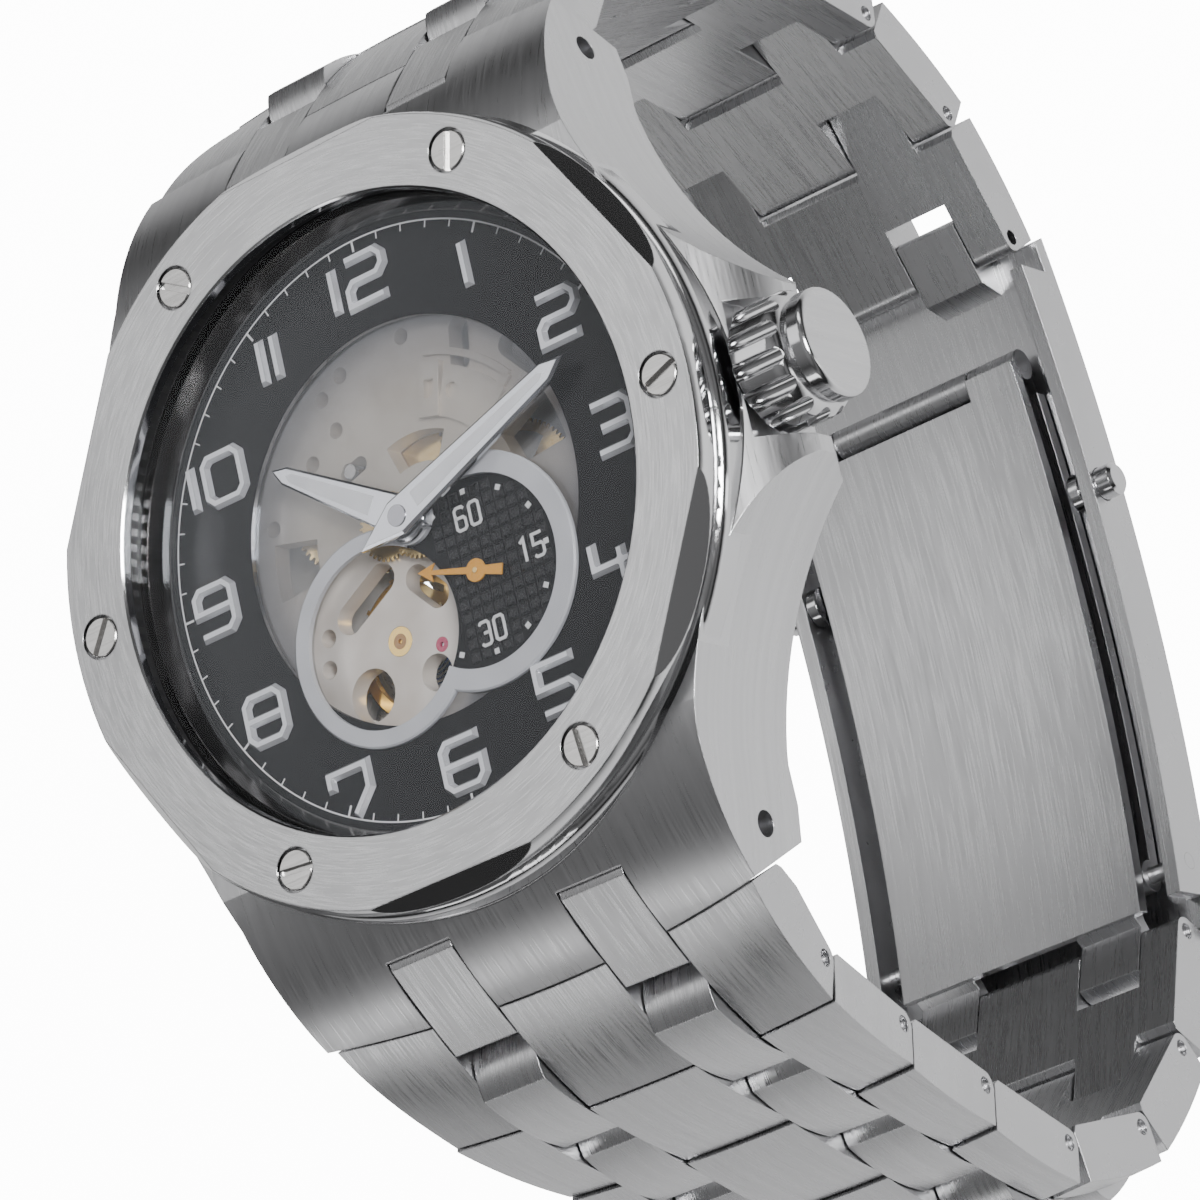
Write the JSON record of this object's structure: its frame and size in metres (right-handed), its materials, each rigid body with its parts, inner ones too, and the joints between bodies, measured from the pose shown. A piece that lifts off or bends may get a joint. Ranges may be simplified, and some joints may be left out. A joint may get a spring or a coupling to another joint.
{
  "type": "skeleton wristwatch",
  "caption": "Automatic skeleton wristwatch on a tapering steel link bracelet with a folding clasp, open dial, small seconds and a visible balance.",
  "frame": {"origin": "where the hands' axis crosses the upper face of the dial", "axes": "+Y towards 12 o'clock, +X towards the crown at 3 o'clock, +Z out of the dial towards the viewer"},
  "size_m": [0.0476, 0.0764, 0.0596],
  "materials": {
    "case_satin": "satin",
    "bezel_brushed": "satin",
    "steel_polished": "polished",
    "screw_steel": "satin",
    "crystal_glass": "clear",
    "smoked_glass": "clear",
    "gasket_rubber": "matte",
    "dial_black": "matte",
    "flange_dark": "gloss",
    "frame_satin": "satin",
    "numeral_white": "gloss",
    "hand_steel": "polished",
    "seconds_orange": "gloss",
    "movement_nickel": "satin",
    "bridge_nickel": "satin",
    "train_brass": "polished",
    "balance_gold": "polished",
    "jewel_ruby": "gloss",
    "spring_blue": "polished",
    "spring_steel": "satin",
    "rotor_metal": "satin",
    "holder_ring": "matte",
    "link_satin": "satin",
    "clasp_steel": "satin"
  },
  "bodies": {
    "case": {"case_middle": "case_satin", "bezel": "bezel_brushed", "bezel_screws": "screw_steel", "crystal": "crystal_glass", "crystal_gasket": "gasket_rubber", "dial_flange": "flange_dark", "case_back": "case_satin", "back_window": "crystal_glass", "crown_tube": "steel_polished", "lug_bars": "spring_steel", "dial_ring": "dial_black", "dial_window": "smoked_glass", "hour_numerals": "numeral_white", "eight_frame": "frame_satin", "seconds_subdial": "dial_black", "main_plate": "movement_nickel", "setting_cover": "movement_nickel", "movement_ring": "holder_ring", "barrel_arbor": "spring_steel", "hairspring": "spring_blue", "balance_cock": "bridge_nickel", "bearing_jewels": "jewel_ruby", "train_bridge": "bridge_nickel"},
    "crown_slider": {"crown_gasket": "gasket_rubber"},
    "crown_unit": {"crown": "steel_polished", "winding_stem": "spring_steel"},
    "minute_unit": {"cannon_pinion": "spring_steel", "minute_hand": "hand_steel"},
    "minute_wheel_unit": {"minute_wheel": "train_brass"},
    "hour_unit": {"hour_wheel": "train_brass", "hour_hand": "hand_steel"},
    "seconds_unit": {"fourth_wheel": "train_brass", "small_seconds_hand": "seconds_orange"},
    "third_unit": {"third_wheel": "train_brass"},
    "centre_unit": {"centre_wheel": "train_brass"},
    "barrel_unit": {"barrel": "train_brass", "mainspring": "spring_steel"},
    "escape_unit": {"escape_wheel": "spring_steel"},
    "pallet_unit": {"pallet_fork": "spring_steel"},
    "balance_unit": {"balance_wheel": "balance_gold"},
    "rotor_unit": {"rotor": "rotor_metal"},
    "inner_blade_unit": {"clasp_inner_blade": "clasp_steel"},
    "outer_blade_unit": {"clasp_outer_blade": "clasp_steel"},
    "cover_unit": {"clasp_cover": "clasp_steel"},
    "pusher_left_unit": {"clasp_pusher_left": "steel_polished"},
    "pusher_right_unit": {"clasp_pusher_right": "steel_polished"},
    "upper_1": {"link_upper_1": "link_satin"},
    "upper_2": {"link_upper_2": "link_satin"},
    "upper_3": {"link_upper_3": "link_satin"},
    "upper_4": {"link_upper_4": "link_satin"},
    "upper_5": {"link_upper_5": "link_satin"},
    "upper_6": {"link_upper_6": "link_satin"},
    "upper_7": {"link_upper_7": "link_satin"},
    "lower_1": {"link_lower_1": "link_satin"},
    "lower_2": {"link_lower_2": "link_satin"},
    "lower_3": {"link_lower_3": "link_satin"},
    "lower_4": {"link_lower_4": "link_satin"},
    "lower_5": {"link_lower_5": "link_satin"},
    "lower_6": {"link_lower_6": "link_satin"},
    "lower_7": {"link_lower_7": "link_satin"}
  },
  "joints": [
    {"name": "crown_pull", "type": "slide", "parent": "case", "child": "crown_slider", "axis": [1, 0, 0], "range_m": [0, 0.0012]},
    {"name": "crown_turn", "type": "hinge", "parent": "crown_slider", "child": "crown_unit", "pos_m": [0.024, 0, -0.0024], "axis": [1, 0, 0], "continuous": true},
    {"name": "minute_turn", "type": "hinge", "parent": "case", "child": "minute_unit", "pos_m": [0, 0, 0], "axis": [0, 0, -1], "continuous": true},
    {"name": "minute_wheel_turn", "type": "hinge", "parent": "case", "child": "minute_wheel_unit", "pos_m": [-0.00232, 0.00062, -0.001], "axis": [0, 0, -1], "continuous": true},
    {"name": "hour_turn", "type": "hinge", "parent": "case", "child": "hour_unit", "pos_m": [0, 0, 0.0002], "axis": [0, 0, -1], "continuous": true},
    {"name": "seconds_turn", "type": "hinge", "parent": "case", "child": "seconds_unit", "pos_m": [0.00355, -0.0043, -0.002], "axis": [0, 0, -1], "continuous": true},
    {"name": "third_turn", "type": "hinge", "parent": "case", "child": "third_unit", "pos_m": [0.00467, 0.00006, -0.003], "axis": [0, 0, -1], "continuous": true},
    {"name": "centre_turn", "type": "hinge", "parent": "case", "child": "centre_unit", "pos_m": [0, 0, -0.003], "axis": [0, 0, -1], "continuous": true},
    {"name": "barrel_turn", "type": "hinge", "parent": "case", "child": "barrel_unit", "pos_m": [-0.00426, 0.00456, -0.003], "axis": [0, 0, -1], "continuous": true},
    {"name": "escape_turn", "type": "hinge", "parent": "case", "child": "escape_unit", "pos_m": [0.00162, -0.00763, -0.003], "axis": [0, 0, -1], "continuous": true},
    {"name": "pallet_rock", "type": "hinge", "parent": "case", "child": "pallet_unit", "pos_m": [-0.00071, -0.00662, -0.0027], "axis": [0, 0, -1], "range_deg": [-6, 6]},
    {"name": "balance_swing", "type": "hinge", "parent": "case", "child": "balance_unit", "pos_m": [-0.0033, -0.0055, -0.0033], "axis": [0, 0, -1], "range_deg": [-270, 270]},
    {"name": "rotor_turn", "type": "hinge", "parent": "case", "child": "rotor_unit", "pos_m": [0, 0, -0.0056], "axis": [0, 0, -1], "continuous": true},
    {"name": "upper_link_1_turn", "type": "hinge", "parent": "case", "child": "upper_1", "pos_m": [0, 0.02176, -0.00381], "axis": [1, 0, 0], "range_deg": [0, 2]},
    {"name": "lower_link_1_turn", "type": "hinge", "parent": "case", "child": "lower_1", "pos_m": [0, -0.02176, -0.00381], "axis": [-1, 0, 0], "range_deg": [0, 2]},
    {"name": "upper_link_2_turn", "type": "hinge", "parent": "upper_1", "child": "upper_2", "pos_m": [0, 0.02779, -0.00944], "axis": [1, 0, 0], "range_deg": [0, 2]},
    {"name": "lower_link_2_turn", "type": "hinge", "parent": "lower_1", "child": "lower_2", "pos_m": [0, -0.02779, -0.00944], "axis": [-1, 0, 0], "range_deg": [0, 2]},
    {"name": "upper_link_3_turn", "type": "hinge", "parent": "upper_2", "child": "upper_3", "pos_m": [0, 0.03034, -0.01728], "axis": [1, 0, 0], "range_deg": [0, 2]},
    {"name": "lower_link_3_turn", "type": "hinge", "parent": "lower_2", "child": "lower_3", "pos_m": [0, -0.03034, -0.01728], "axis": [-1, 0, 0], "range_deg": [0, 2]},
    {"name": "upper_link_4_turn", "type": "hinge", "parent": "upper_3", "child": "upper_4", "pos_m": [0, 0.03289, -0.02513], "axis": [1, 0, 0], "range_deg": [0, 2]},
    {"name": "lower_link_4_turn", "type": "hinge", "parent": "lower_3", "child": "lower_4", "pos_m": [0, -0.03289, -0.02513], "axis": [-1, 0, 0], "range_deg": [0, 2]},
    {"name": "upper_link_5_turn", "type": "hinge", "parent": "upper_4", "child": "upper_5", "pos_m": [0, 0.03544, -0.03298], "axis": [1, 0, 0], "range_deg": [0, 28]},
    {"name": "lower_link_5_turn", "type": "hinge", "parent": "lower_4", "child": "lower_5", "pos_m": [0, -0.03544, -0.03298], "axis": [-1, 0, 0], "range_deg": [0, 28]},
    {"name": "upper_link_6_turn", "type": "hinge", "parent": "upper_5", "child": "upper_6", "pos_m": [0, 0.03401, -0.0411], "axis": [1, 0, 0], "range_deg": [0, 28]},
    {"name": "lower_link_6_turn", "type": "hinge", "parent": "lower_5", "child": "lower_6", "pos_m": [0, -0.03401, -0.0411], "axis": [-1, 0, 0], "range_deg": [0, 28]},
    {"name": "upper_link_7_turn", "type": "hinge", "parent": "upper_6", "child": "upper_7", "pos_m": [0, 0.02893, -0.0476], "axis": [1, 0, 0], "range_deg": [0, 24]},
    {"name": "lower_link_7_turn", "type": "hinge", "parent": "lower_6", "child": "lower_7", "pos_m": [0, -0.02893, -0.0476], "axis": [-1, 0, 0], "range_deg": [0, 24]},
    {"name": "clasp_end_turn", "type": "hinge", "parent": "lower_7", "child": "inner_blade_unit", "pos_m": [0, -0.02165, -0.05147], "axis": [-1, 0, 0], "range_deg": [0, 2]},
    {"name": "clasp_unfold", "type": "hinge", "parent": "inner_blade_unit", "child": "outer_blade_unit", "pos_m": [0, 0.0145, -0.05261], "axis": [1, 0, 0], "range_deg": [0, 110]},
    {"name": "clasp_cover_turn", "type": "hinge", "parent": "outer_blade_unit", "child": "cover_unit", "pos_m": [0, -0.0175, -0.05269], "axis": [-1, 0, 0], "range_deg": [0, 110]},
    {"name": "pusher_left_press", "type": "slide", "parent": "cover_unit", "child": "pusher_left_unit", "axis": [1, 0, 0], "range_m": [0, 0.0008]},
    {"name": "pusher_right_press", "type": "slide", "parent": "cover_unit", "child": "pusher_right_unit", "axis": [-1, 0, 0], "range_m": [0, 0.0008]}
  ],
  "couplings": [
    {"joint": "minute_wheel_turn", "follows": "minute_turn", "ratio": -0.33333},
    {"joint": "hour_turn", "follows": "minute_turn", "ratio": 0.083333},
    {"joint": "third_turn", "follows": "seconds_turn", "ratio": -0.125},
    {"joint": "centre_turn", "follows": "seconds_turn", "ratio": 0.016667},
    {"joint": "barrel_turn", "follows": "seconds_turn", "ratio": -0.002381},
    {"joint": "escape_turn", "follows": "seconds_turn", "ratio": -10},
    {"joint": "clasp_cover_turn", "follows": "clasp_unfold", "ratio": 1}
  ]
}
